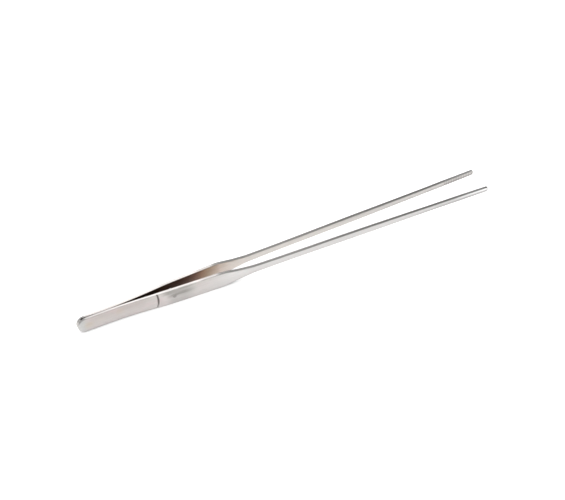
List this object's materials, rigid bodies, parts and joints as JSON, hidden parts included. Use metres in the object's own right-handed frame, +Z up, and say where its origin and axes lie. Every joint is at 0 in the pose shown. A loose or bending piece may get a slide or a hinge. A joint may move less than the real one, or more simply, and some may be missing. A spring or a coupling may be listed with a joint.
{
  "type": "aquascaping tweezers",
  "caption": "Long straight aquarium planting tweezers: mirrored steel arms welded at the butt, flat grips, slender shanks and rounded tips with cross-cut teeth inside.",
  "frame": {"origin": "bottom centre of the tool lying on its lower edge, halfway between the butt end and the tips, on the middle plane between the arms", "axes": "+X from the butt to the tips, +Y from the near arm to the far arm, +Z up, across the width of the grip"},
  "size_m": [0.27, 0.0192, 0.0109],
  "materials": {
    "satin_steel": "satin stainless steel, brushed along the arm",
    "weld_steel": "ground weld metal, slightly darker",
    "pin_steel": "turned stainless steel, end face ground flush"
  },
  "bodies": {
    "butt": {"near_butt_plate": "satin_steel", "far_butt_plate": "satin_steel", "butt_weld": "weld_steel", "near_spring_leaf": "satin_steel", "far_spring_leaf": "satin_steel"},
    "near_arm": {"near_grip": "satin_steel", "near_shank": "satin_steel", "guide_pin": "pin_steel"},
    "far_arm": {"far_grip": "satin_steel", "far_shank": "satin_steel"}
  },
  "joints": [
    {"name": "near_arm_flex", "type": "hinge", "parent": "butt", "child": "near_arm", "pos_m": [-0.101, -0.00133, 0.00545], "axis": [0, 0, 1], "range_deg": [0, 1.88], "stiffness_Nm_per_rad": 5.5, "deforming": ["near_spring_leaf"]},
    {"name": "far_arm_flex", "type": "hinge", "parent": "butt", "child": "far_arm", "pos_m": [-0.101, 0.00133, 0.00545], "axis": [0, 0, 1], "range_deg": [-1.88, 0], "stiffness_Nm_per_rad": 5.5, "deforming": ["far_spring_leaf"]}
  ],
  "couplings": [
    {"joint": "far_arm_flex", "follows": "near_arm_flex", "ratio": -1}
  ]
}
